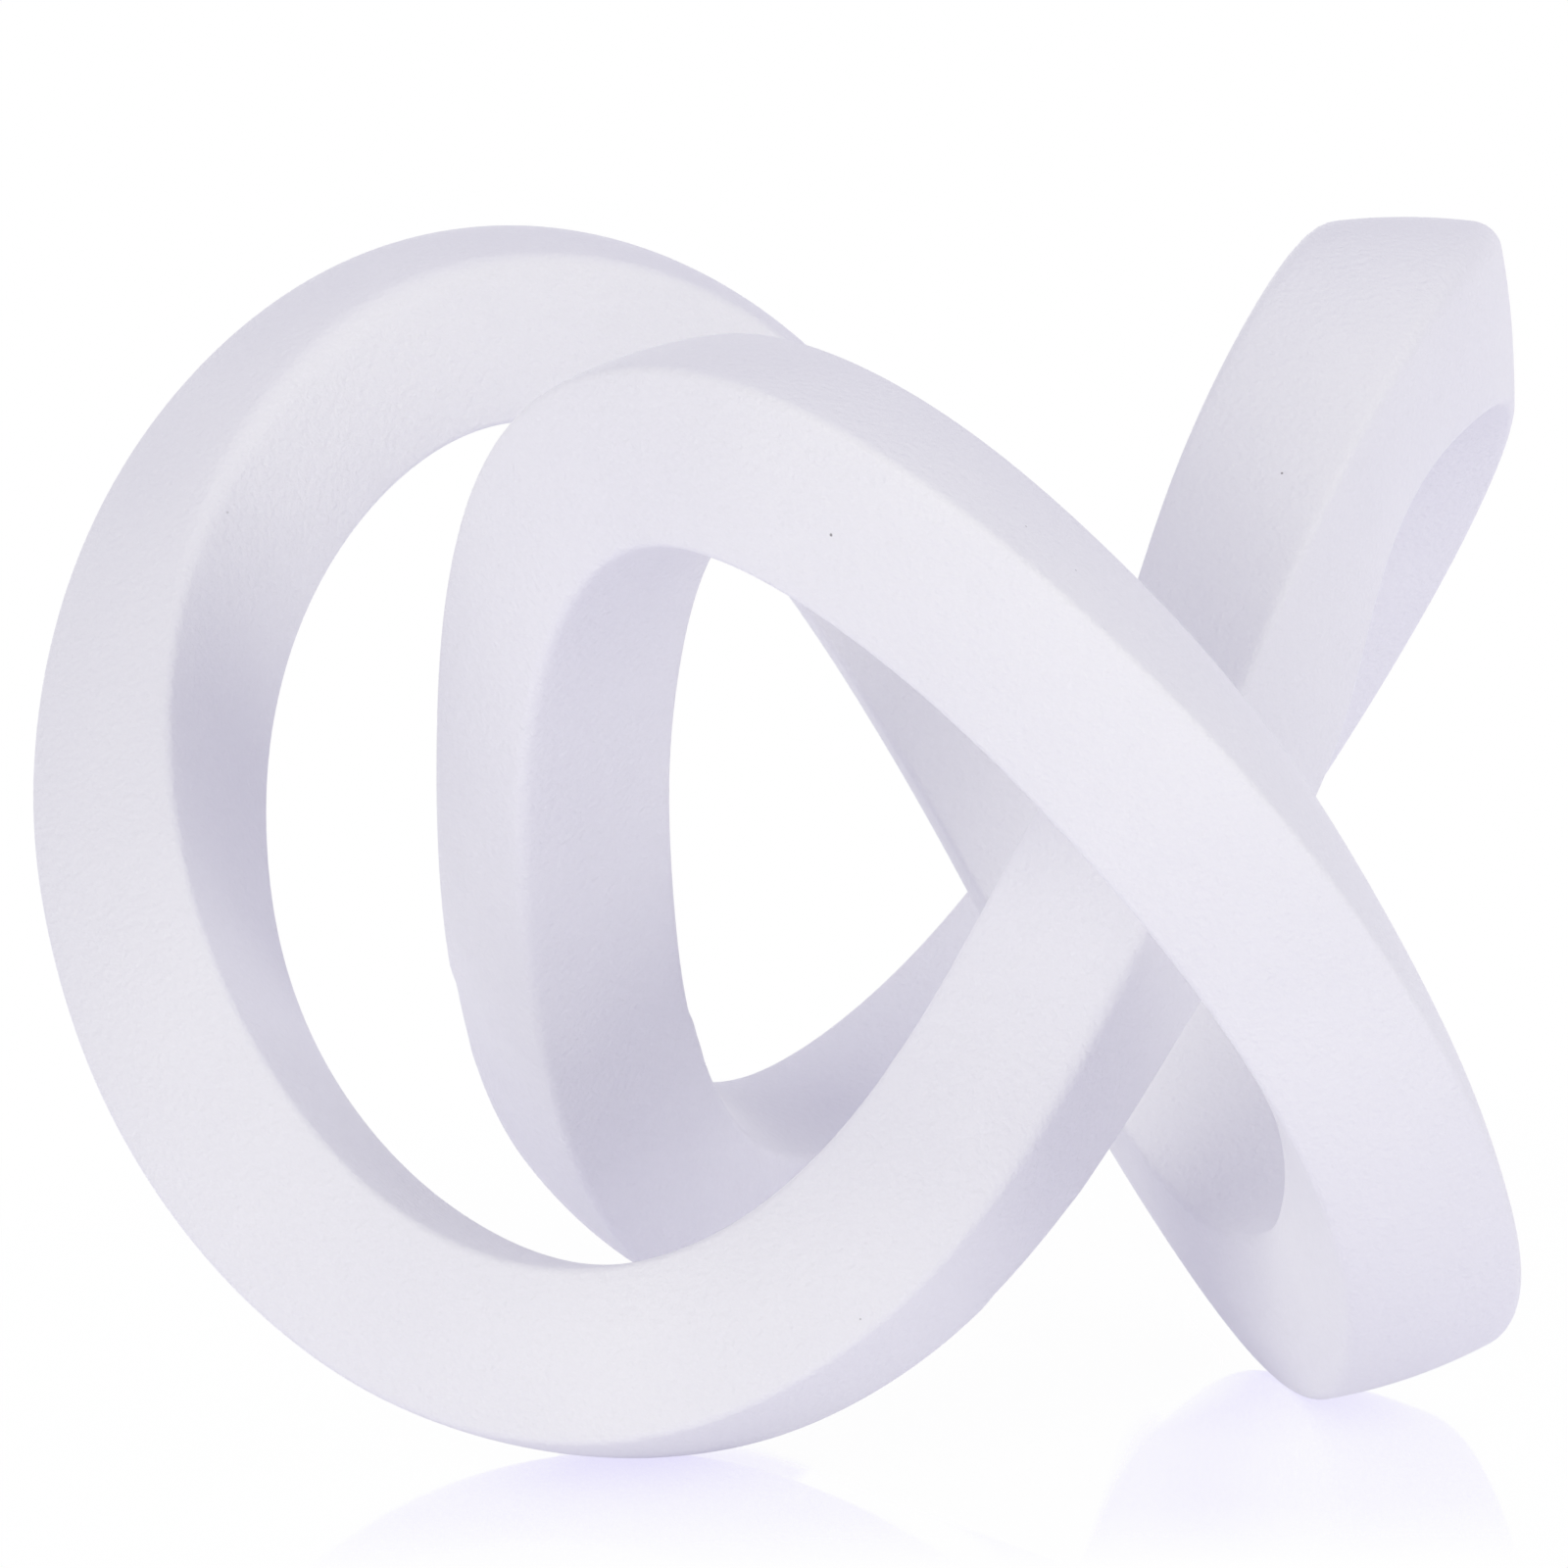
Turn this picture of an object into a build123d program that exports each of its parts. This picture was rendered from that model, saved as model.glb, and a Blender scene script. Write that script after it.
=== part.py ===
"""Knot sculpture: a square bar tied in a knot of three lobes.

The bar is cast in three identical hooks, one for each lobe. Each joint between two hooks is a
butt joint on a pair of dowel pins, with a weld bead that fills the bevels round it. The knot's
axis is upright, and the knot stands on three small lands ground level with the floor at Z = 0.
The origin is at the middle of the whole knot's length and width, on the floor.
"""
from build123d import *
from cmath import rect
from math import radians, sin, tan
import os

# The bar: a square with crowned faces, measured from edge to edge, and rounded edges
BAR_SIDE = 18.8
FACE_CROWN = 0.8
BAR_EDGE_R = 2.0

# Plan of the centre line: circles added to each other while the knot is gone round once
MAIN_R = 54.6
LOBE_R = 18.7
BEND_R = 3.6
NECK_R = 2.5
TIP_R = 1.2
MAIN_START = 180
LOBE_START = 180
BEND_START = 211
NECK_START = 208
TIP_START = 244

# Height of the centre line above and below the knot's middle
RISE = 50.1
RISE_START = 171
LEAN = 4.3
LEAN_START = -77
CREST = 0.65
CREST_START = 180

# Roll of the square section, from the direction that points out from the axis
ROLL_MEAN_ANGLE = 32.9
ROLL_SWAY_ANGLE = 32.6
ROLL_SWAY_START = -6
ROLL_TWIST_ANGLE = 12.8
ROLL_TWIST_START = 180

# Joints between the castings
JOINT_TURN = 56
WELD_DEPTH = 3.5
WELD_HALF_ANGLE = 40
WELD_CROWN = 0.15
DOWEL_R = 1.5
DOWEL_LENGTH = 16.0
DOWEL_CHAMFER = 0.4
DOWEL_WALL = 1.0
DOWEL_CLEARANCE = 0.05
DOWEL_END_GAP = 0.5

# How much is ground off the lowest edges for the lands that it stands on
LAND_DEPTH = 0.4

# The castings, and the joints at their far ends, in the order that the bar runs through them
LOBE_NAMES = ("left", "rear", "front")
JOINT_NAMES = ("front", "left", "rear")
LOBES = len(LOBE_NAMES)
LOBE_TURN = 360 / LOBES
LOBE_PLAN_TURN = 2 * LOBE_TURN

# How finely the bar is shaped
SECTION_COUNT = 28
EDGE_ARC_COUNT = 3
TINY_TURN = 0.01


def centre(turn):
    """Point on the centre line, which goes twice round the axis in 360 degrees of turn."""
    circles = (
        (MAIN_R, 2 * turn + MAIN_START),
        (LOBE_R, (2 - LOBES) * turn + LOBE_START),
        (BEND_R, (2 + LOBES) * turn + BEND_START),
        (NECK_R, (2 - 2 * LOBES) * turn + NECK_START),
        (TIP_R, (2 + 2 * LOBES) * turn + TIP_START),
    )
    waves = (
        (RISE, LOBES * turn + RISE_START),
        (LEAN, 2 * LOBES * turn + LEAN_START),
        (CREST, 3 * LOBES * turn + CREST_START),
    )
    plan = sum(rect(radius, radians(angle)) for radius, angle in circles)
    height = sum(wave * sin(radians(angle)) for wave, angle in waves)
    return Vector(plan.real, plan.imag, height)


def travel(turn):
    """Way along the centre line, in millimetres for each degree of turn."""
    return (centre(turn + TINY_TURN) - centre(turn - TINY_TURN)) / (2 * TINY_TURN)


def roll(turn):
    """Angle of the section's faces about the centre line."""
    sway = ROLL_SWAY_ANGLE * sin(radians(LOBES * turn + ROLL_SWAY_START))
    twist = ROLL_TWIST_ANGLE * sin(radians(2 * LOBES * turn + ROLL_TWIST_START))
    return ROLL_MEAN_ANGLE + sway + twist


def section_plane(turn):
    """Plane square to the centre line, with X along one pair of the bar's faces."""
    point = centre(turn)
    along = travel(turn).normalized()
    outward = Vector(point.X, point.Y, 0)
    across = (outward - along * outward.dot(along)).normalized()
    face_way = across.rotate(Axis((0, 0, 0), along), roll(turn))
    return Plane(origin=point, x_dir=face_way, z_dir=along)


def profile(proud):
    """The bar's outline, or one that stands proud of it all round. Its rounds are short arcs."""
    edge = BAR_SIDE / 2 + proud
    crowned = ThreePointArc((edge, -edge), (edge + FACE_CROWN, 0), (edge, edge))
    quarters = [Rot(0, 0, angle) for angle in (0, 90, 180, 270)]
    square = make_face([quarter * crowned for quarter in quarters])
    outline = fillet(square.vertices(), BAR_EDGE_R).edges().sort_by(SortBy.LENGTH)
    rounds = outline[:len(quarters)]
    faces = outline[len(quarters):]
    cuts = [step / EDGE_ARC_COUNT for step in range(EDGE_ARC_COUNT)]
    arcs = [corner.trim(cut, cut + 1 / EDGE_ARC_COUNT) for corner in rounds for cut in cuts]
    return make_face(faces + arcs)


def section(turn, proud=0.0):
    """The bar's section at a turn, or one that stands proud of it all round."""
    return section_plane(turn) * profile(proud)


def bevel_turn():
    """How much turn the bevel at the end of a casting takes."""
    return WELD_DEPTH * tan(radians(WELD_HALF_ANGLE)) / travel(JOINT_TURN).length


def bar(start, end):
    """Stretch of the bar from one turn to another."""
    step = (end - start) / (SECTION_COUNT - 1)
    return loft([section(start + step * number) for number in range(SECTION_COUNT)])


def across_joint(proud):
    """Stretch of the bar across a joint, from bevel to bevel, proud or sunk at the joint."""
    turns = (JOINT_TURN - bevel_turn(), JOINT_TURN, JOINT_TURN + bevel_turn())
    return loft([section(turn, size) for turn, size in zip(turns, (0, proud, 0))], ruled=True)


def weld():
    """Weld bead that fills the bevels at a casting's far end, ground to a low crown."""
    return across_joint(WELD_CROWN) - across_joint(-WELD_DEPTH)


def dowel_places():
    """Places of the two dowel pins in a joint's plane, on one diagonal."""
    offset = BAR_SIDE / 2 - WELD_DEPTH - DOWEL_WALL - DOWEL_R
    return [Pos(offset, offset), Pos(-offset, -offset)]


def dowel(place):
    """One pin at a casting's far end, lying half in each of the two castings."""
    pin = Cylinder(DOWEL_R, DOWEL_LENGTH)
    pin = chamfer(pin.edges().filter_by(GeomType.CIRCLE), DOWEL_CHAMFER)
    return section_plane(JOINT_TURN) * place * pin


def casting():
    """The hook of one lobe, bevelled and drilled at both ends."""
    start = JOINT_TURN - LOBE_TURN
    first = start + bevel_turn()
    last = JOINT_TURN - bevel_turn()
    hook = bar(first, last)
    hook += loft([section(start, -WELD_DEPTH), section(first)], ruled=True)
    hook += loft([section(last), section(JOINT_TURN, -WELD_DEPTH)], ruled=True)
    hole = Cylinder(DOWEL_R + DOWEL_CLEARANCE, DOWEL_LENGTH + 2 * DOWEL_END_GAP)
    for turn in (start, JOINT_TURN):
        for place in dowel_places():
            hook -= section_plane(turn) * place * hole
    return hook


def ground(hook):
    """The hook with its land ground, and the height of that land below the knot's middle."""
    floor = hook.bounding_box().min.Z + LAND_DEPTH
    return split(hook, Plane.XY.offset(floor), keep=Keep.TOP), floor


def places(hook, floor):
    """Where the three copies of a piece go: turned about the axis, then set on the floor."""
    turns = [Rot(0, 0, LOBE_PLAN_TURN * copy) for copy in range(LOBES)]
    middle = Compound([turn * hook for turn in turns]).bounding_box().center()
    return [Pos(-middle.X, -middle.Y, -floor) * turn for turn in turns]


def save(name, shape):
    """Write one piece to its own file."""
    shape.label = name
    export_step(shape, f"parts/{name}.step")


def main():
    os.makedirs("parts", exist_ok=True)
    hook, floor = ground(casting())
    bead = weld()
    pins = [dowel(place) for place in dowel_places()]
    for place, lobe, joint in zip(places(hook, floor), LOBE_NAMES, JOINT_NAMES):
        save(f"{lobe}_lobe", place * hook)
        save(f"{joint}_weld", place * bead)
        for number, pin in enumerate(pins, start=1):
            save(f"{joint}_dowel_{number}", place * pin)


main()
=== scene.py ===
"""Looks of the knot sculpture: a white coated bar, tied in a knot, on a glossy white floor.

The bar follows the course and roll of the CAD model, so each casting and each weld is a smooth
mesh in the place of its CAD solid. What hand work left different from place to place is added:
tighter or softer edges, small changes of roll, thickness and place, and steps from grinding.
"""
import math
import bmesh
import bpy
import numpy as np
from mathutils import Matrix, Vector, noise

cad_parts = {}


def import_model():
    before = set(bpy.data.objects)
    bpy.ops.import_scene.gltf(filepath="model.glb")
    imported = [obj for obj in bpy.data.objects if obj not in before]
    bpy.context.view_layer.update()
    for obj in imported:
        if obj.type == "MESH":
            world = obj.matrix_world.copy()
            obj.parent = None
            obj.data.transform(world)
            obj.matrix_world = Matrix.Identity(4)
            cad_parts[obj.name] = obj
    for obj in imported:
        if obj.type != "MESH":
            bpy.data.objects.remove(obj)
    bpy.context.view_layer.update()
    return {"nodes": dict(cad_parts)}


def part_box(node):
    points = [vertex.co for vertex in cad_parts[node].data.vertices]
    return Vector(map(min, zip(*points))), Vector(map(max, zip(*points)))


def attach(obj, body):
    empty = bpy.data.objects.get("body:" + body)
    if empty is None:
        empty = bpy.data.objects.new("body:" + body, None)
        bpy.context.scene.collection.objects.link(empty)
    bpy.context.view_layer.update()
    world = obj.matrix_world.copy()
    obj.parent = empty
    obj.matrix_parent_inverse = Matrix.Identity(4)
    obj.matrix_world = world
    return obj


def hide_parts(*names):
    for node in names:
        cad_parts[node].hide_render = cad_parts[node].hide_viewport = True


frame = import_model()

MM = 0.001

# The bar's section
BAR_SIDE = 18.3 * MM
FACE_CROWN = 0.8 * MM
BAR_EDGE_R = 1.1 * MM

# The centre line in plan: radius, turns for each turn of the knot, start angle
PLAN_CIRCLES = (
    (54.6 * MM, 2, 180),
    (18.7 * MM, -1, 180),
    (3.6 * MM, 5, 211),
    (2.5 * MM, -4, 208),
    (1.2 * MM, 8, 244),
)

# The centre line's height: size, waves for each turn of the knot, start angle
HEIGHT_WAVES = (
    (50.1 * MM, 3, 171),
    (4.3 * MM, 6, -77),
    (0.65 * MM, 9, 180),
)

# The section's roll: size in degrees, waves for each turn of the knot, start angle
ROLL_MEAN = 32.9
ROLL_WAVES = (
    (32.6, 3, -6),
    (12.8, 6, 180),
)

# The castings, and the joints at their far ends, in the order that the bar runs through them
LOBE_NAMES = ("left", "rear", "front")
JOINT_NAMES = ("front", "left", "rear")
DOWEL_NUMBERS = (1, 2)
FULL_TURN = 360
LOBE_TURN = 120
LOBE_PLAN_TURN = 240
JOINT_TURN = 56
WELD_DEPTH = 3.5 * MM
WELD_HALF_ANGLE = 40

# Hand work: slow unevenness, and a little of the weld left standing
WAVE_SIZE = 0.16 * MM
WAVE_LENGTH = 24 * MM
WELD_BULGE = 0.06 * MM

# Directions of the bar's four edges, and where hand work rounded an edge more: turn, direction of
# the edge, radius, reach along the bar
EDGE_ANGLES = (45, 135, -135, -45)
SOFT_EDGES = (
    (-19, -135, 3.2 * MM, 34 * MM),
    (90, -135, 3.2 * MM, 22 * MM),
    (93, -45, 2.8 * MM, 20 * MM),
    (192, 45, 1.8 * MM, 34 * MM),
    (61, -45, 1.8 * MM, 22 * MM),
)

# Where the bar is rolled more or less: turn, degrees, reach along the bar
ROLL_CHANGES = (
    (-32, -9, 24 * MM),
    (70, -12, 20 * MM),
    (106, -10, 26 * MM),
)

# Where the bar is thicker or thinner: turn, how much on each side, reach along the bar
SWELLS = (
    (12, -0.3 * MM, 45 * MM),
    (91, 0.9 * MM, 24 * MM),
    (228, -0.2 * MM, 40 * MM),
    (244, -0.3 * MM, 20 * MM),
    (261, 0.6 * MM, 20 * MM),
)

# Where the bar lies a little out of its place: turn, how far in X, Y and Z, reach along the bar
SHIFTS = (
    (-54, (0.3 * MM, 0, 0.2 * MM), 25 * MM),
    (-31, (0, 0, -0.8 * MM), 26 * MM),
    (-8, (-0.4 * MM, 0, 0.1 * MM), 30 * MM),
    (14, (0.55 * MM, 0, 0.25 * MM), 30 * MM),
    (70, (2.3 * MM, 0, -0.9 * MM), 20 * MM),
    (195, (-0.25 * MM, 0, 0), 25 * MM),
    (226, (0.15 * MM, 0, 0.2 * MM), 35 * MM),
)

# Steps that grinding left on the bar's edges: turn, direction round the section, height
GRINDING_STEPS = (
    (177.7, 135, -0.15 * MM),
    (51.5, 45, -0.12 * MM),
    (179.5, -45, 0.20 * MM),
)
STEP_LENGTH = 0.6 * MM
STEP_REACH = 12 * MM
STEP_FOCUS = 3

# How finely the meshes are drawn
LOBE_STEPS = 360
WELD_STEPS = 10
FACE_STEPS = 12
EDGE_STEPS = 6
TINY_TURN = 0.01
SHARP_ANGLE = 32
CUT_TOLERANCE = 1e-7
LAND_TOLERANCE = 1e-6

# The powder coat: its colours, its dullness, and the height and number to a metre of its grains
COAT_COLOUR = (0.83, 0.82, 0.865, 1)
COAT_DULL_COLOUR = (0.81, 0.80, 0.85, 1)
COAT_TONE_SCALE = 38
COAT_TONE_DETAIL = 3
COAT_SPECULAR = 0.25
COAT_ROUGHNESS = (0.48, 0.58)
PEEL_HEIGHT = 0.02 * MM
PEEL_SCALE = 620
PEEL_DETAIL = 2
SAND_HEIGHT = 0.2 * MM
SAND_SCALE = 1300
SAND_DETAIL = 3

# Pinholes in the coat. The pits are real, but the mesh has none, so their darkness is painted shade
# on the coat colour. Each: pixel of the photograph, radius, how dark from nought to one
PINHOLES = (
    ((600, 380), 0.25 * MM, 0.5),
    ((848, 546), 0.22 * MM, 0.9),
    ((1047, 537), 0.13 * MM, 0.5),
    ((1098, 582), 0.13 * MM, 0.5),
    ((1308, 483), 0.17 * MM, 0.9),
    ((232, 523), 0.20 * MM, 0.3),
    ((878, 1346), 0.15 * MM, 0.5),
)
# Painted shade: the dark colour that stands in for the shade inside each pinhole's pit
PINHOLE_SHADE_COLOUR = (0.20, 0.19, 0.20, 1)
PINHOLE_CORE = 0.5
PINHOLE_RAGGED = (0.6, 1.5)

# The steel of the dowel pins
STEEL_COLOUR = (0.56, 0.56, 0.57, 1)
STEEL_ROUGHNESS = (0.22, 0.42)
STEEL_MARK_HEIGHT = 0.005 * MM
STEEL_MARK_SCALE = 3000
STEEL_MARK_DETAIL = 3

# Noise lies mostly between these two
NOISE_LOW = 0.3
NOISE_HIGH = 0.7

# The camera, as found from the photograph
CAMERA_PLACE = (80.993 * MM, -1006.867 * MM, 256.055 * MM)
CAMERA_TURN = 4.5504
CAMERA_DOWN = 10.7167
CAMERA_ROLL = 2.1404
CAMERA_LENS = 220.74
CAMERA_SENSOR = 36
CAMERA_CLIP = (0.05, 50)
PHOTO_SIDE = 1600

# The studio: soft light from all round, and soft boxes that face the knot
KNOT_MIDDLE = Vector((12.4, -1.0, 57.5)) * MM
WHITE = (1, 1, 1)
FILL_RADIANCE = (0.42, 0.407, 0.498)
BOX_DISTANCE = 1.2

# Each box: name, angle from the front round to the right, angle up, width, height, radiance
SOFT_BOXES = (
    ("left_box", -32, 24, 0.6, 0.9, (2.974, 3.037, 2.467)),
    ("right_box", 58, 18, 0.6, 0.7, (2.777, 2.843, 2.292)),
    ("back_left_box", 205, 8, 1.0, 0.32, (4.4, 4.6, 3.75)),
    ("back_right_box", 140, 8, 1.0, 0.32, (1.319, 1.296, 1.374)),
    ("top_box", 170, 72, 1.2, 0.8, (0.898, 0.891, 0.992)),
)

# Boxes that make no shine, so that no white line runs along the bar's far edges
MATT_BOXES = ("back_left_box", "back_right_box")

# The floor, which keeps a faint shadow near the knot
FLOOR_SIDE = 6.0
FLOOR_GAP = 0.05 * MM
FLOOR_COLOUR = (0.95, 0.95, 0.95, 1)
FLOOR_GLOW = (0.118, 0.112, 0.162)
SHADOW_REACH = (50 * MM, 160 * MM)
SHADOW_STRENGTH = 0.04

# The floor's mirror image. Its share falls from the first to the second as the nearest land gets
# farther. It starts at a distance from the knot's axis, and fades out toward front and back. A
# wedge of the floor between the two near lobes shows plain white.
MIRROR_COLOUR = (0.36, 0.40, 0.05)
MIRROR_ROUGHNESS = 0.06
MIRROR_NEAR = (4 * MM, 25 * MM)
MIRROR_SHARES = (0.8, 0.5)
MIRROR_START = (30 * MM, 38 * MM)
MIRROR_FADE = (56 * MM, 79 * MM)
OPENING_TIP = (21.3 * MM, -80 * MM, 0)
OPENING_ANGLE = 106.1
OPENING_HALF_ANGLES = (21.5, 18.5)


def wave_angles(turns, times, start):
    """Angles of one wave or circle at those turns, in radians."""
    return np.radians(times * turns + start)


def waves(turns, sizes):
    """Sum of some waves at those turns."""
    return sum(size * np.sin(wave_angles(turns, times, start)) for size, times, start in sizes)


def course(turns):
    """Points on the centre line about the knot's middle."""
    plan = sum(
        radius * np.exp(1j * wave_angles(turns, times, start))
        for radius, times, start in PLAN_CIRCLES
    )
    return np.stack([plan.real, plan.imag, waves(turns, HEIGHT_WAVES)], axis=1)


def unit(vectors):
    """The same vectors with a length of one."""
    return vectors / np.linalg.norm(vectors, axis=1, keepdims=True)


def section_axes(turns, more_roll):
    """The two directions across the bar that its faces follow."""
    along = unit(course(turns + TINY_TURN) - course(turns - TINY_TURN))
    outward = course(turns) * np.array([1, 1, 0])
    first = unit(outward - along * (outward * along).sum(axis=1, keepdims=True))
    second = np.cross(along, first)
    roll = np.radians(ROLL_MEAN + waves(turns, ROLL_WAVES) + more_roll)[:, None]
    across = np.cos(roll) * first + np.sin(roll) * second
    up = np.cos(roll) * second - np.sin(roll) * first
    return across, up


def joint_speed():
    """Length of the bar for each degree of turn at a joint."""
    return np.linalg.norm(np.subtract(*course(JOINT_TURN + np.array([0.5, -0.5]))))


def apart(turns, turn, cycle):
    """Length of the bar from a turn that comes back every cycle, less than nothing before it."""
    return ((turns - turn + cycle / 2) % cycle - cycle / 2) * joint_speed()


def near(turns, turn, reach):
    """One at a turn of the knot, and less and less away from it."""
    return np.exp(-(apart(turns, turn, FULL_TURN) / reach) ** 2)


def roll_change(turns):
    """Degrees of roll that hand work added at those turns."""
    return sum(angle * near(turns, turn, reach) for turn, angle, reach in ROLL_CHANGES)


def shifted(turns):
    """How far the bar lies out of its place at those turns."""
    return sum(np.outer(near(turns, turn, reach), way) for turn, way, reach in SHIFTS)


def edge_radii(turns):
    """Radius of each of the bar's four edges at those turns."""
    radii = np.full((len(turns), len(EDGE_ANGLES)), BAR_EDGE_R)
    for turn, angle, radius, reach in SOFT_EDGES:
        added = (radius - BAR_EDGE_R) * near(turns, turn, reach)
        radii[:, EDGE_ANGLES.index(angle)] += added
    return radii


def outline(radii):
    """Points round the bar's sections, and the way out from the bar at each."""
    edge = BAR_SIDE / 2
    crown_r = (edge ** 2 + FACE_CROWN ** 2) / (2 * FACE_CROWN)
    crown_centre = edge + FACE_CROWN - crown_r
    # Each round touches two crowned faces, and its centre lies on the section's diagonal
    reach = crown_r - radii
    round_centre = (crown_centre + np.sqrt(2 * reach ** 2 - crown_centre ** 2)) / 2
    half = np.arcsin(round_centre / reach)
    points = []
    ways = []
    for number in range(len(EDGE_ANGLES)):
        quarter = 1j ** number
        before = half[:, number - 1]
        after = half[:, number]
        face = np.linspace(-before, after, FACE_STEPS, endpoint=False, axis=1)
        corner = np.linspace(after, math.pi / 2 - after, EDGE_STEPS, endpoint=False, axis=1)
        round_points = radii[:, [number]] * np.exp(1j * corner)
        points.append((crown_centre + crown_r * np.exp(1j * face)) * quarter)
        points.append((round_centre[:, [number]] * (1 + 1j) + round_points) * quarter)
        ways.append(np.exp(1j * face) * quarter)
        ways.append(np.exp(1j * corner) * quarter)
    return np.concatenate(points, axis=1), np.concatenate(ways, axis=1)


def bevel_length():
    """Length of the bevel at the end of a casting."""
    return WELD_DEPTH * math.tan(math.radians(WELD_HALF_ANGLE))


def bevel_turn():
    """How much turn the bevel at the end of a casting takes."""
    return bevel_length() / joint_speed()


def grinding(turns, ways):
    """Height of the steps that grinding left, which fade out along the bar."""
    height = np.zeros(ways.shape)
    for step_turn, angle, size in GRINDING_STEPS:
        along = apart(turns, step_turn, FULL_TURN)[:, None]
        facing = (ways * np.exp(-1j * math.radians(angle))).real
        step = np.tanh(along / STEP_LENGTH) * np.exp(-(along / STEP_REACH) ** 2)
        height += size * step * np.clip(facing, 0, None) ** STEP_FOCUS
    return height


def unevenness(turns, ways, rings):
    """How far hand finishing left the surface above or below its true place."""
    slow = np.array([[noise.noise(Vector(point / WAVE_LENGTH)) for point in ring] for ring in rings])
    away = np.abs(apart(turns, JOINT_TURN, LOBE_TURN))[:, None]
    bulge = WELD_BULGE * np.cos(np.clip(away / bevel_length(), 0, 1) * math.pi / 2) ** 2
    swell = sum(size * near(turns, turn, reach) for turn, size, reach in SWELLS)[:, None]
    return WAVE_SIZE * slow + bulge + swell + grinding(turns, ways)


def settle(copy):
    """Rotation and shift from the knot's first lobe to one of its three, as CAD has them."""
    boxes = [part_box(f"{JOINT_NAMES[0]}_dowel_{number}") for number in DOWEL_NUMBERS]
    middle = sum((low + high for low, high in boxes), Vector()) / (2 * len(boxes))
    shift = np.array(middle) - course(np.array([JOINT_TURN]))[0]
    return np.array(Matrix.Rotation(math.radians(LOBE_PLAN_TURN * copy), 3, "Z")), shift


def skin(turns, copy, sunk=0.0):
    """Rings of points on the bar's surface, or sunk smoothly below it, in the CAD frame."""
    whole_turns = turns + LOBE_TURN * copy
    points, ways = outline(edge_radii(whole_turns))
    across, up = (axes[:, None] for axes in section_axes(turns, roll_change(whole_turns)))
    flat = points * (1 - sunk / (BAR_SIDE / 2))
    rings = course(turns)[:, None] + flat.real[..., None] * across + flat.imag[..., None] * up
    out = ways.real[..., None] * across + ways.imag[..., None] * up
    turned, shift = settle(copy)
    rings = rings @ turned.T + shift + shifted(whole_turns)[:, None]
    if not sunk:
        uneven = unevenness(whole_turns, ways, rings)
        rings = rings + (out @ turned.T) * uneven[..., None]
    return rings


def strip(first, second, around):
    """Faces between two rings of points."""
    return [
        (first * around + spot, first * around + (spot + 1) % around,
         second * around + (spot + 1) % around, second * around + spot)
        for spot in range(around)
    ]


def strips(count, around):
    """Faces between rings of points, one after the other."""
    return [face for ring in range(count - 1) for face in strip(ring, ring + 1, around)]


def grind_land(shaped):
    """Cut a piece off level with the floor, and close it there."""
    everything = shaped.verts[:] + shaped.edges[:] + shaped.faces[:]
    cut = bmesh.ops.bisect_plane(
        shaped, geom=everything, plane_co=(0, 0, 0), plane_no=(0, 0, 1),
        clear_inner=True, dist=CUT_TOLERANCE,
    )
    rim = [item for item in cut["geom_cut"] if isinstance(item, bmesh.types.BMEdge)]
    if rim:
        bmesh.ops.holes_fill(shaped, edges=rim, sides=0)


def mesh_object(name, rings, faces):
    """Smooth piece with its sharp edges kept."""
    mesh = bpy.data.meshes.new(name)
    mesh.from_pydata([tuple(point) for point in rings.reshape(-1, 3)], [], faces)
    mesh.validate()
    shaped = bmesh.new()
    shaped.from_mesh(mesh)
    bmesh.ops.recalc_face_normals(shaped, faces=shaped.faces)
    grind_land(shaped)
    shaped.to_mesh(mesh)
    shaped.free()
    mesh.shade_smooth()
    mesh.set_sharp_from_angle(angle=math.radians(SHARP_ANGLE))
    piece = bpy.data.objects.new(name, mesh)
    bpy.context.scene.collection.objects.link(piece)
    return piece


def lobe(copy):
    """One casting, bevelled at both ends."""
    start = JOINT_TURN - LOBE_TURN
    turns = np.linspace(start + bevel_turn(), JOINT_TURN - bevel_turn(), LOBE_STEPS)
    near_end = skin(np.array([start]), copy, WELD_DEPTH)
    far_end = skin(np.array([JOINT_TURN]), copy, WELD_DEPTH)
    rings = np.concatenate([near_end, skin(turns, copy), far_end])
    count, around = rings.shape[:2]
    caps = [tuple(range(around)), tuple(range((count - 1) * around, count * around))]
    return mesh_object(f"{LOBE_NAMES[copy]}_casting", rings, strips(count, around) + caps)


def weld(copy):
    """The bead that fills the bevels at a casting's far end."""
    turns = np.linspace(JOINT_TURN - bevel_turn(), JOINT_TURN + bevel_turn(), WELD_STEPS + 1)
    root = skin(np.array([JOINT_TURN]), copy, WELD_DEPTH)
    rings = np.concatenate([root, skin(turns, copy)])
    count, around = rings.shape[:2]
    faces = strips(count, around) + strip(0, count - 1, around)
    return mesh_object(f"{JOINT_NAMES[copy]}_bead", rings, faces)


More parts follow.
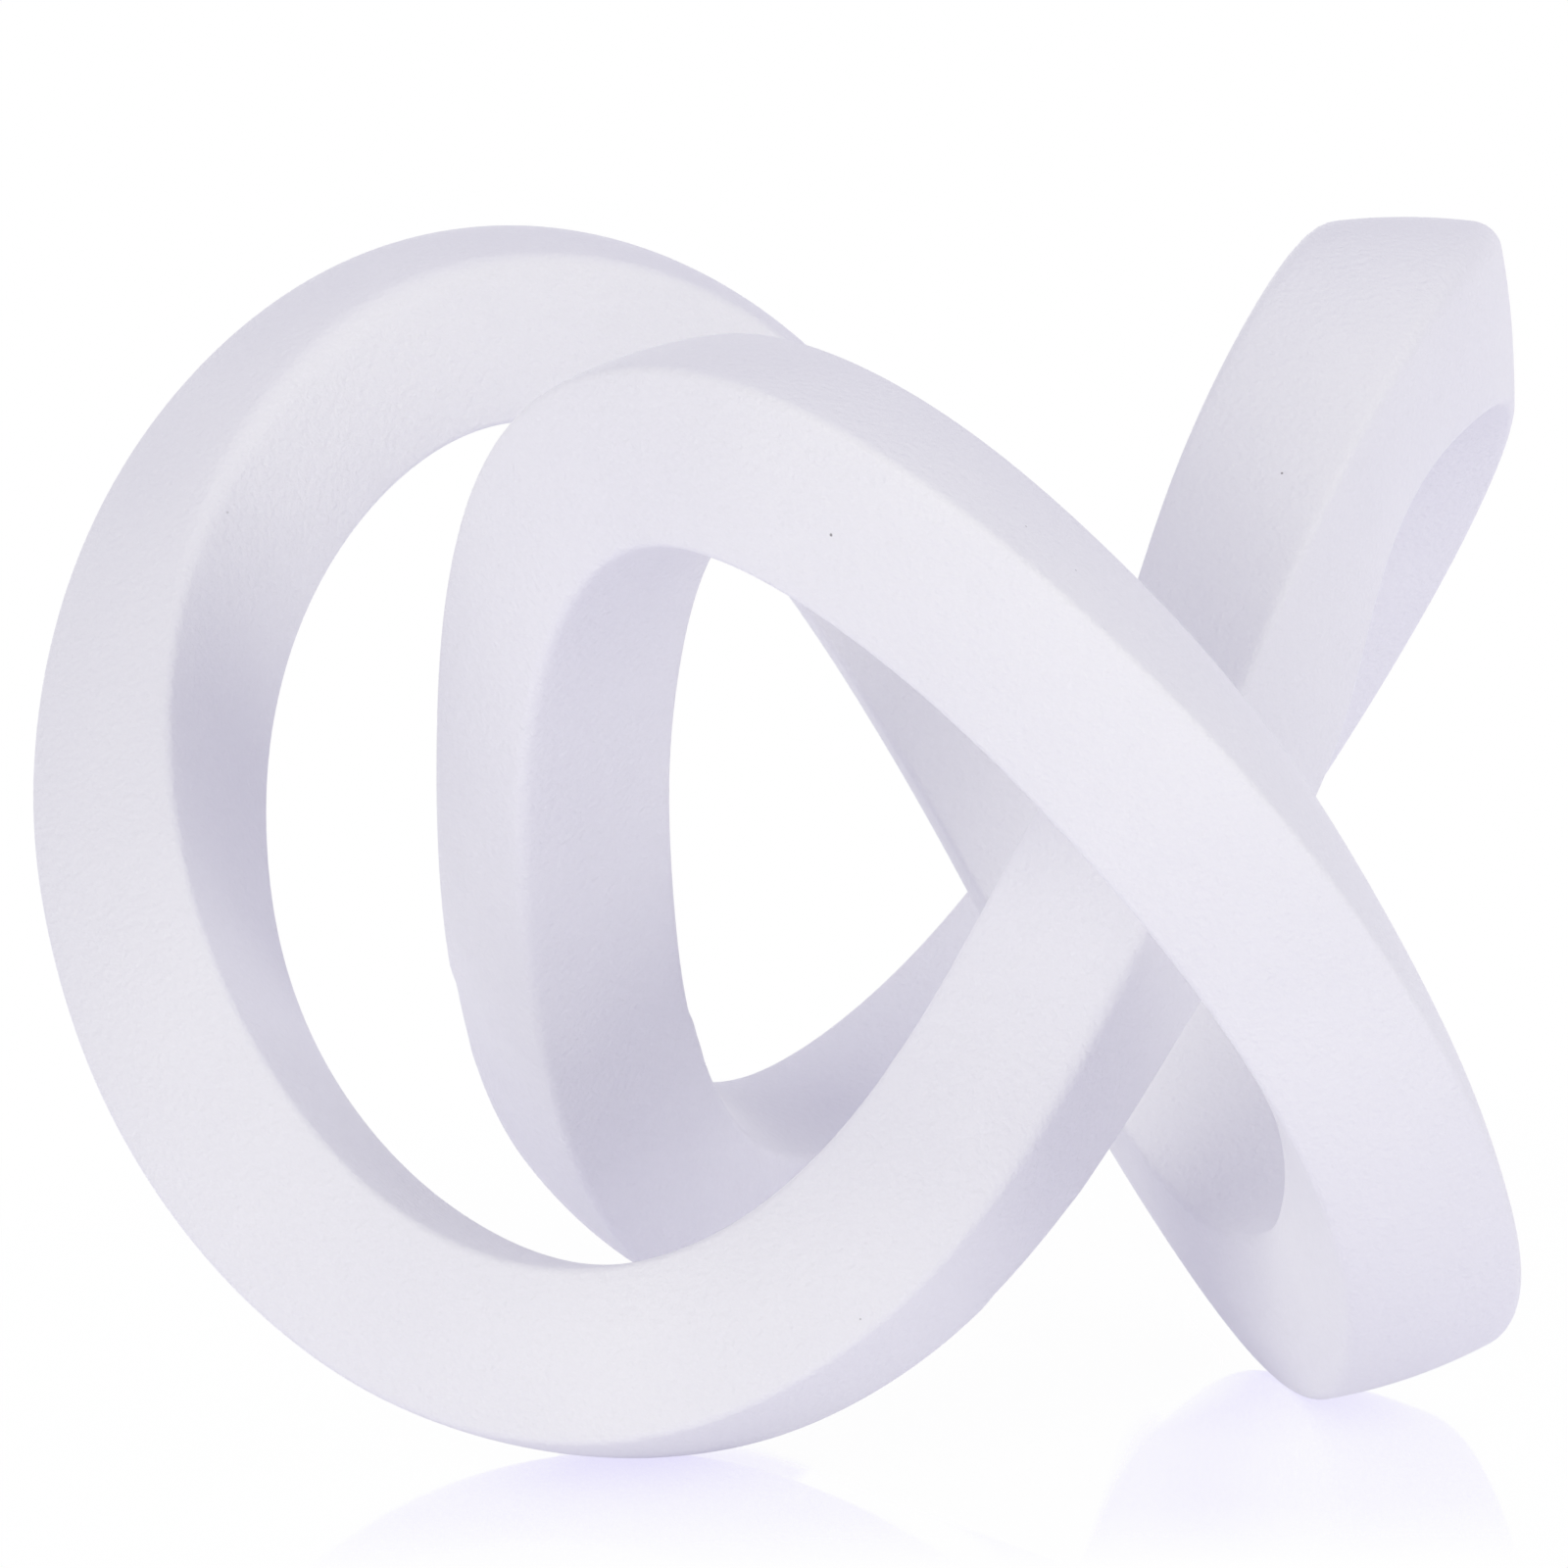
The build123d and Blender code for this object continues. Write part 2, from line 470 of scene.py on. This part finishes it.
class Look:
    """A node tree, and short ways to add to it. A value may be a socket or a plain number."""

    def __init__(self, holder, output):
        holder.use_nodes = True
        self.tree = holder.node_tree
        self.tree.nodes.clear()
        self.output = self.add(output)
        self.place = self.add("ShaderNodeTexCoord").outputs["Object"]

    def add(self, kind, **settings):
        """A new node with those settings."""
        node = self.tree.nodes.new(kind)
        for name, setting in settings.items():
            setattr(node, name, setting)
        return node

    def put(self, value, socket):
        """Link a value to a socket, or set a plain one there."""
        if isinstance(value, bpy.types.NodeSocket):
            self.tree.links.new(value, socket)
        else:
            socket.default_value = value

    def maths(self, operation, first, second=0.0):
        """Two values joined by an operation."""
        node = self.add("ShaderNodeMath", operation=operation)
        self.put(first, node.inputs[0])
        self.put(second, node.inputs[1])
        return node.outputs["Value"]

    def vectors(self, operation, result, first, second=(0, 0, 0)):
        """Two vectors joined by an operation, whose result is a vector or a value."""
        node = self.add("ShaderNodeVectorMath", operation=operation)
        self.put(first, node.inputs[0])
        self.put(second, node.inputs[1])
        return node.outputs[result]

    def ranged(self, value, low, high, to_low, to_high):
        """A value mapped from one range to another."""
        node = self.add("ShaderNodeMapRange")
        for number, part in enumerate((value, low, high, to_low, to_high)):
            self.put(part, node.inputs[number])
        return node.outputs["Result"]

    def noise(self, scale, detail):
        """Noise on the piece's own coordinates."""
        node = self.add("ShaderNodeTexNoise")
        self.put(self.place, node.inputs["Vector"])
        self.put(scale, node.inputs["Scale"])
        self.put(detail, node.inputs["Detail"])
        return node.outputs["Fac"]

    def bump(self, height, distance, normal=None):
        """A bump from a height of nought to one, that distance high."""
        node = self.add("ShaderNodeBump")
        self.put(height, node.inputs["Height"])
        self.put(distance, node.inputs["Distance"])
        if normal is not None:
            self.put(normal, node.inputs["Normal"])
        return node.outputs["Normal"]

    def colours(self, share, first, second):
        """Two colours mixed by the second one's share."""
        node = self.add("ShaderNodeMix", data_type="RGBA")
        self.put(share, node.inputs["Factor"])
        self.put(first, node.inputs["A"])
        self.put(second, node.inputs["B"])
        return node.outputs["Result"]

    def shader(self, kind, values):
        """A shader with those values at its sockets."""
        node = self.add(kind)
        for name, value in values.items():
            self.put(value, node.inputs[name])
        return node.outputs[0]

    def glow(self, radiance):
        """A plain glow of that radiance."""
        return self.shader("ShaderNodeEmission", {"Color": (*radiance, 1)})

    def summed(self, first, second):
        """Two shaders added."""
        node = self.add("ShaderNodeAddShader")
        self.put(first, node.inputs[0])
        self.put(second, node.inputs[1])
        return node.outputs["Shader"]

    def mixed(self, share, first, second):
        """Two shaders mixed by the second one's share."""
        node = self.add("ShaderNodeMixShader")
        self.put(share, node.inputs[0])
        self.put(first, node.inputs[1])
        self.put(second, node.inputs[2])
        return node.outputs["Shader"]

    def seen(self):
        """One where the camera sees it, straight on or in a reflection or through glass."""
        rays = self.add("ShaderNodeLightPath").outputs
        straight = self.maths("MAXIMUM", rays["Is Camera Ray"], rays["Is Glossy Ray"])
        return self.maths("MAXIMUM", straight, rays["Is Transmission Ray"])

    def finish(self, surface):
        """Use that shader for the surface."""
        self.put(surface, self.output.inputs["Surface"])


def pinhole_shade_share(look, hole, radius, depth, uneven):
    """How much of a pinhole's painted shade shows round the place of one."""
    away = look.vectors("DISTANCE", "Value", look.place, hole)
    ragged = look.maths("MULTIPLY", away, uneven)
    return look.ranged(ragged, PINHOLE_CORE * radius, radius, depth, 0)


def white_coat(name, pinholes):
    """Matt powder coat: sandy grain, faint orange peel, slow change of tone, and pinholes whose
    darkness is painted shade.
    """
    material = bpy.data.materials.new(name)
    look = Look(material, "ShaderNodeOutputMaterial")
    tone = look.noise(COAT_TONE_SCALE, COAT_TONE_DETAIL)
    tone = look.ranged(tone, NOISE_LOW, NOISE_HIGH, 0, 1)
    peel = look.noise(PEEL_SCALE, PEEL_DETAIL)
    sand = look.noise(SAND_SCALE, SAND_DETAIL)
    colour = look.colours(tone, COAT_COLOUR, COAT_DULL_COLOUR)
    uneven = look.ranged(sand, NOISE_LOW, NOISE_HIGH, *PINHOLE_RAGGED)
    # Painted shade: each pinhole's pit is drawn only as a dark spot mixed into the coat colour
    for hole, radius, depth in pinholes:
        share = pinhole_shade_share(look, hole, radius, depth, uneven)
        colour = look.colours(share, colour, PINHOLE_SHADE_COLOUR)
    look.finish(look.shader("ShaderNodeBsdfPrincipled", {
        "Base Color": colour,
        "Roughness": look.ranged(tone, 0, 1, *COAT_ROUGHNESS),
        "Specular IOR Level": COAT_SPECULAR,
        "Normal": look.bump(sand, SAND_HEIGHT, look.bump(peel, PEEL_HEIGHT)),
    }))
    return material


def dowel_steel():
    """Drawn steel of the dowel pins, with fine marks and uneven dullness."""
    material = bpy.data.materials.new("dowel_steel_look")
    look = Look(material, "ShaderNodeOutputMaterial")
    marks = look.noise(STEEL_MARK_SCALE, STEEL_MARK_DETAIL)
    look.finish(look.shader("ShaderNodeBsdfPrincipled", {
        "Base Color": STEEL_COLOUR,
        "Metallic": 1.0,
        "Roughness": look.ranged(marks, NOISE_LOW, NOISE_HIGH, *STEEL_ROUGHNESS),
        "Normal": look.bump(marks, STEEL_MARK_HEIGHT),
    }))
    return material


def camera():
    """The camera that took the photograph."""
    lens = bpy.data.cameras.new("camera")
    lens.lens = CAMERA_LENS
    lens.sensor_width = CAMERA_SENSOR
    lens.clip_start, lens.clip_end = CAMERA_CLIP
    holder = bpy.data.objects.new("camera", lens)
    turned = Matrix.Rotation(math.radians(CAMERA_TURN), 4, "Z")
    tilted = Matrix.Rotation(math.radians(90 - CAMERA_DOWN), 4, "X")
    rolled = Matrix.Rotation(math.radians(-CAMERA_ROLL), 4, "Z")
    holder.matrix_world = Matrix.Translation(CAMERA_PLACE) @ turned @ tilted @ rolled
    bpy.context.scene.collection.objects.link(holder)
    bpy.context.scene.camera = holder
    return holder


def seen_at(pixel, holder, pieces):
    """The nearest point of the pieces under a pixel of the photograph."""
    scale = holder.data.sensor_width / holder.data.lens / PHOTO_SIDE
    half = PHOTO_SIDE / 2
    way = Vector(((pixel[0] - half) * scale, (half - pixel[1]) * scale, -1)).normalized()
    way = holder.matrix_world.to_3x3() @ way
    start = holder.matrix_world.translation
    hits = [piece.ray_cast(start, way) for piece in pieces]
    places = [hit[1] for hit in hits if hit[0]]
    return min(places, key=lambda place: (place - start).length)


def soft_box(name, side_angle, rise_angle, width, height, radiance):
    """A soft box that faces the knot and looks as bright as that radiance."""
    data = bpy.data.lights.new(name, "AREA")
    data.shape = "RECTANGLE"
    data.size = width
    data.size_y = height
    strongest = max(radiance)
    data.energy = strongest * math.pi * width * height
    data.color = [part / strongest for part in radiance]
    lamp = bpy.data.objects.new(name, data)
    level = Matrix.Rotation(math.radians(side_angle), 3, "Z") @ Vector((0, -1, 0))
    up = Vector((0, 0, 1))
    way = level * math.cos(math.radians(rise_angle)) + up * math.sin(math.radians(rise_angle))
    lamp.location = KNOT_MIDDLE + way * BOX_DISTANCE
    lamp.rotation_euler = (-way).to_track_quat("-Z", "Y").to_euler()
    lamp.visible_camera = False
    lamp.visible_glossy = name not in MATT_BOXES
    bpy.context.scene.collection.objects.link(lamp)


def world():
    """Soft light from all round, and plain white where the camera or a reflection sees it."""
    sky = bpy.data.worlds.new("studio")
    bpy.context.scene.world = sky
    look = Look(sky, "ShaderNodeOutputWorld")
    soft = look.shader("ShaderNodeBackground", {"Color": (*FILL_RADIANCE, 1)})
    white = look.shader("ShaderNodeBackground", {"Color": (*WHITE, 1)})
    look.finish(look.mixed(look.seen(), soft, white))


def land(piece):
    """Middle of the flat that a casting stands on."""
    flat = [vertex.co for vertex in piece.data.vertices if vertex.co.z < LAND_TOLERANCE]
    return sum(flat, Vector()) / len(flat)


def mirror_share(look, lands, away):
    """How much of the mirror image shows at a place on the floor."""
    gaps = [look.vectors("DISTANCE", "Value", look.place, spot) for spot in lands]
    nearest = look.maths("MINIMUM", look.maths("MINIMUM", gaps[0], gaps[1]), gaps[2])
    split = look.add("ShaderNodeSeparateXYZ")
    look.put(look.place, split.inputs["Vector"])
    depth = look.maths("ABSOLUTE", split.outputs["Y"])
    from_tip = look.vectors("SUBTRACT", "Vector", look.place, OPENING_TIP)
    angle = math.radians(OPENING_ANGLE)
    opening_way = (math.cos(angle), math.sin(angle), 0)
    facing = look.vectors("NORMALIZE", "Vector", from_tip)
    facing = look.vectors("DOT_PRODUCT", "Value", facing, opening_way)
    edge = [math.cos(math.radians(half)) for half in OPENING_HALF_ANGLES]
    share = look.ranged(nearest, *MIRROR_NEAR, *MIRROR_SHARES)
    share = look.maths("MULTIPLY", share, look.ranged(away, *MIRROR_START, 0, 1))
    share = look.maths("MULTIPLY", share, look.ranged(depth, *MIRROR_FADE, 1, 0))
    return look.maths("MULTIPLY", share, look.ranged(facing, *edge, 1, 0))


def glossy_white(lands):
    """Floor that is matt white as a light, and white with a mirror image where it is seen."""
    material = bpy.data.materials.new("floor_white")
    look = Look(material, "ShaderNodeOutputMaterial")
    matt = look.shader("ShaderNodeBsdfDiffuse", {"Color": FLOOR_COLOUR})
    lit = look.summed(matt, look.glow(FLOOR_GLOW))
    away = look.vectors("LENGTH", "Value", look.place)
    shadow = look.ranged(away, *SHADOW_REACH, SHADOW_STRENGTH, 0)
    plain = look.mixed(shadow, look.glow(WHITE), matt)
    gloss = look.shader("ShaderNodeBsdfGlossy", {
        "Color": (*MIRROR_COLOUR, 1),
        "Roughness": MIRROR_ROUGHNESS,
    })
    mirror = look.summed(gloss, look.glow([1 - part for part in MIRROR_COLOUR]))
    shown = look.mixed(mirror_share(look, lands, away), plain, mirror)
    look.finish(look.mixed(look.seen(), lit, shown))
    return material


def floor(castings):
    """A level floor under the knot."""
    half = FLOOR_SIDE / 2
    corners = [(-half, -half, 0), (half, -half, 0), (half, half, 0), (-half, half, 0)]
    mesh = bpy.data.meshes.new("floor")
    mesh.from_pydata(corners, [], [(0, 1, 2, 3)])
    plane = bpy.data.objects.new("floor", mesh)
    plane.location = (KNOT_MIDDLE.x, KNOT_MIDDLE.y, -FLOOR_GAP)
    bpy.context.scene.collection.objects.link(plane)
    mesh.materials.append(glossy_white([land(piece) - plane.location for piece in castings]))


def dress(piece, material, node):
    """Put a piece in the place of its CAD node, with a material."""
    piece.data.materials.append(material)
    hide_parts(node)
    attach(piece, "root")


holder = camera()
castings = [lobe(copy) for copy in range(len(LOBE_NAMES))]
beads = [weld(copy) for copy in range(len(JOINT_NAMES))]
bpy.context.view_layer.update()
holes = [(seen_at(pixel, holder, castings), radius, depth) for pixel, radius, depth in PINHOLES]
coat = white_coat("white_coat_look", holes)
bead_coat = white_coat("coated_weld_look", [])
for piece, name in zip(castings, LOBE_NAMES):
    dress(piece, coat, f"{name}_lobe")
for piece, name in zip(beads, JOINT_NAMES):
    dress(piece, bead_coat, f"{name}_weld")
steel = dowel_steel()
for name, node in frame["nodes"].items():
    if "dowel" in name:
        node.data.materials.clear()
        node.data.materials.append(steel)

world()
for box in SOFT_BOXES:
    soft_box(*box)
floor(castings)
bpy.context.scene.view_settings.view_transform = "Standard"
